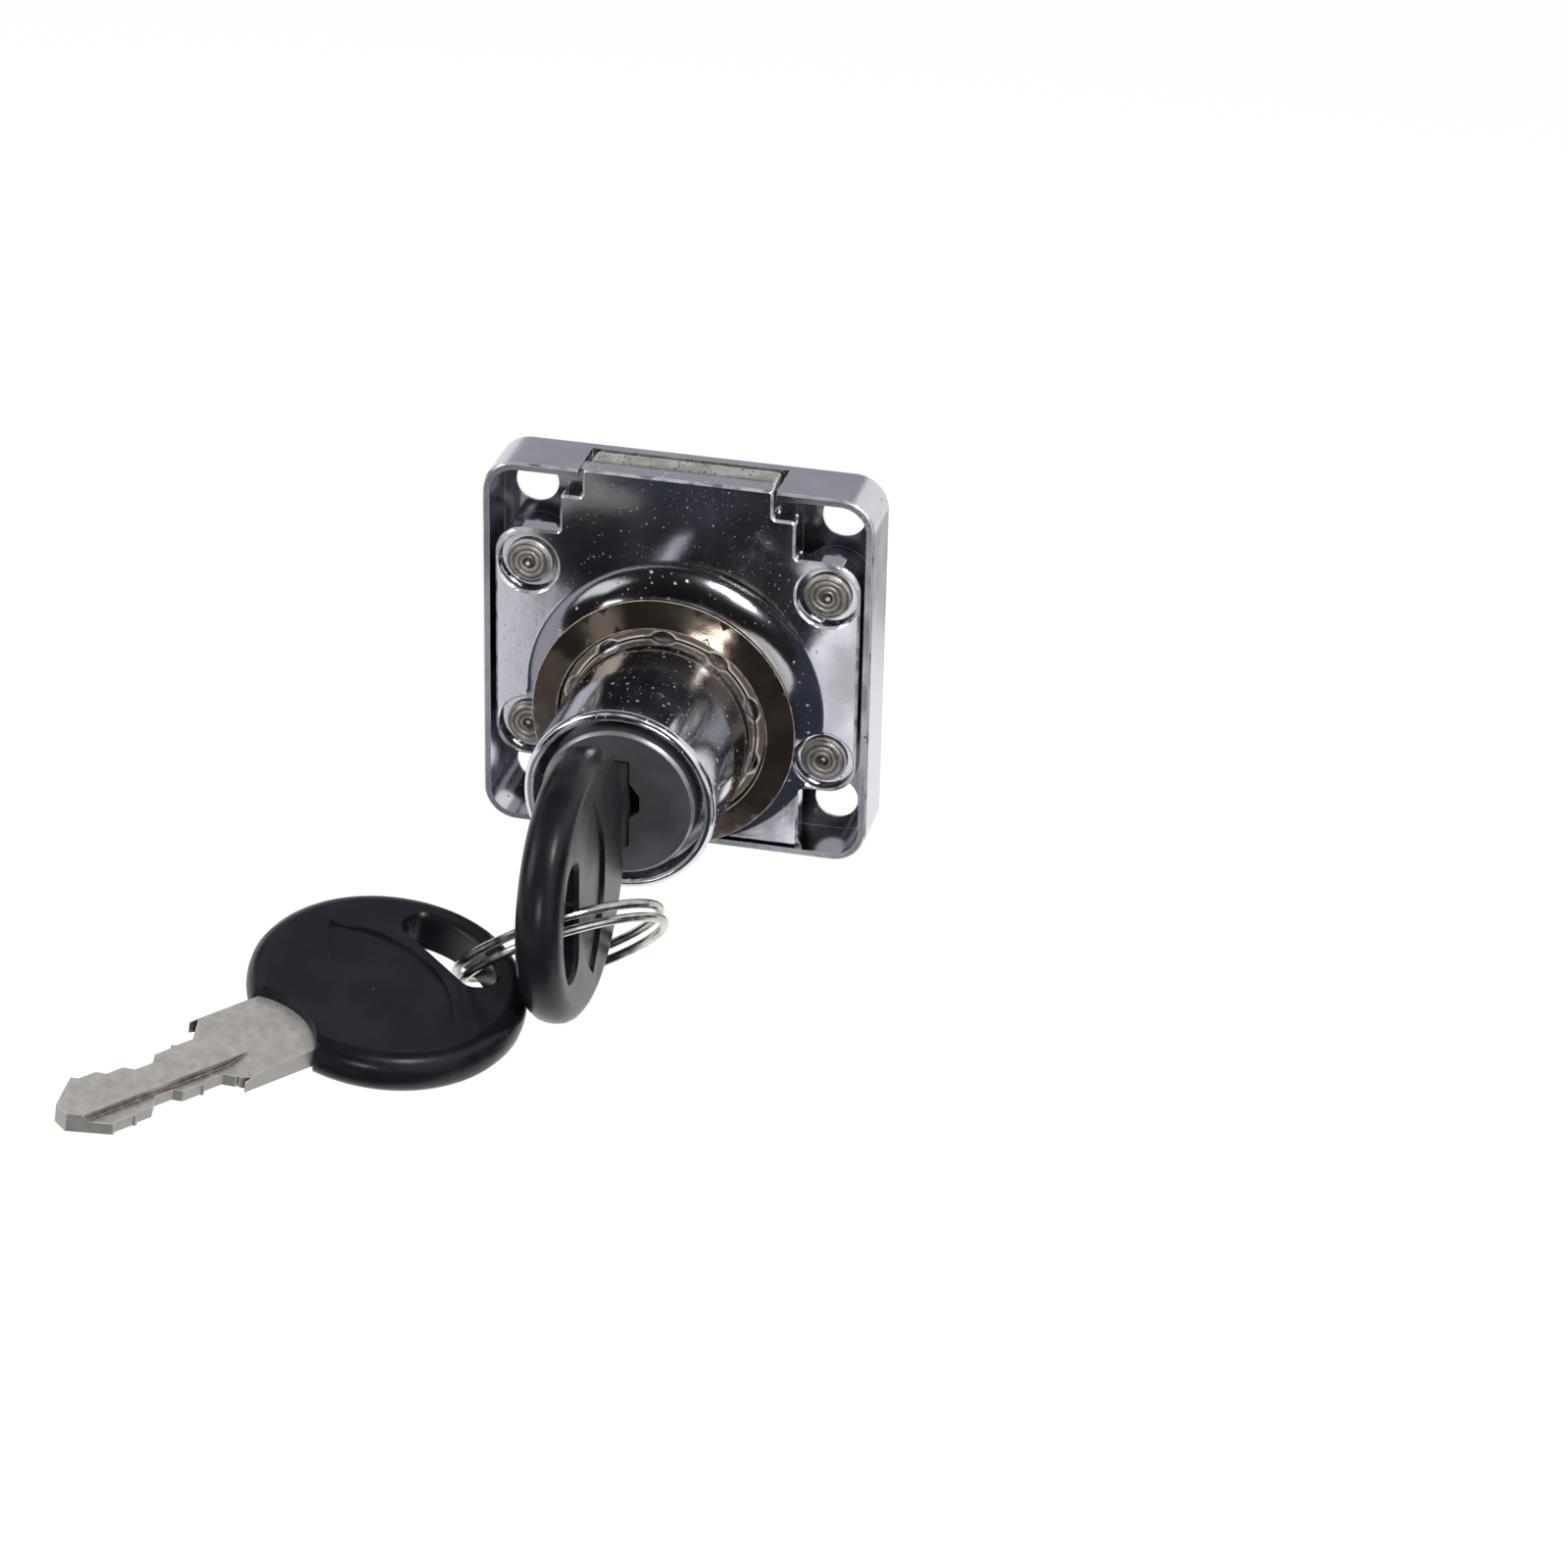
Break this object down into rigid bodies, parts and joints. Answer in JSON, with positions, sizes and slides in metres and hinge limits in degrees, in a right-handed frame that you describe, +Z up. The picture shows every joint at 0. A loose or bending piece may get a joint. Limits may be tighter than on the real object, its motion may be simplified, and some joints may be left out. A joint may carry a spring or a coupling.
{
  "type": "cabinet lock",
  "caption": "Surface-mounted drawer and cabinet lock: flat square case with a sliding bolt, round key barrel, trim ring, and keys on a split ring.",
  "frame": {"origin": "where the barrel's axis meets the mounting plane, the rim of the case that lies on the inside of the drawer front", "axes": "+X across the lock, +Y into the cupboard, +Z up, the way the bolt is thrown"},
  "size_m": [0.0574, 0.0865, 0.04],
  "materials": {
    "case_chrome": "satin chrome plate on a zinc casting",
    "cover_chrome": "bright chrome plate on a zinc casting",
    "rivet_steel": "spun rivet heads, slightly browned",
    "plug_metal": "satin nickel plate",
    "spring_steel": "plain spring steel",
    "wafer_brass": "stamped brass",
    "bolt_nickel": "tumbled nickel plate, warm grey and grainy",
    "trim_nickel": "polished nickel plate on pressed brass",
    "black_plastic": "glossy moulded plastic",
    "key_nickel": "satin nickel plate on brass",
    "ring_nickel": "nickel-plated spring wire"
  },
  "bodies": {
    "case": {"case": "case_chrome", "cover_and_barrel": "cover_chrome", "cover_rivets": "rivet_steel"},
    "trim_ring": {"trim_ring": "trim_nickel"},
    "plug": {"plug": "plug_metal", "plug_clip": "spring_steel", "wafer_1": "wafer_brass", "wafer_2": "wafer_brass", "wafer_3": "wafer_brass", "wafer_4": "wafer_brass", "wafer_5": "wafer_brass", "tumbler_springs": "spring_steel"},
    "bolt": {"bolt": "bolt_nickel"},
    "key": {"key_bow": "black_plastic", "key_blade": "key_nickel"},
    "split_ring": {"split_ring": "ring_nickel"},
    "loose_key": {"loose_key_bow": "black_plastic", "loose_key_blade": "key_nickel"}
  },
  "joints": [
    {"name": "plug_turn", "type": "hinge", "parent": "case", "child": "plug", "pos_m": [0, 0, 0], "axis": [0, 1, 0], "range_deg": [0, 180]},
    {"name": "bolt_slide", "type": "slide", "parent": "case", "child": "bolt", "axis": [0, 0, 1], "range_m": [0, 0.0106]},
    {"name": "trim_ring_slide", "type": "slide", "parent": "case", "child": "trim_ring", "axis": [0, -1, 0], "range_m": [0, 0.016]},
    {"name": "key_slide", "type": "slide", "parent": "plug", "child": "key", "axis": [0, -1, 0], "range_m": [0, 0.025]},
    {"name": "ring_swing", "type": "hinge", "parent": "key", "child": "split_ring", "pos_m": [0, -0.04657, -0.00029], "axis": [1, 0, 0], "range_deg": [-75, 0]},
    {"name": "loose_key_turn", "type": "hinge", "parent": "split_ring", "child": "loose_key", "pos_m": [-0.00975, -0.04381, -0.00903], "axis": [0.1587, -0.1002, 0.9822], "range_deg": [-60, 0]}
  ],
  "couplings": [
    {"joint": "bolt_slide", "follows": "plug_turn", "m_per_rad": 0.003374}
  ]
}
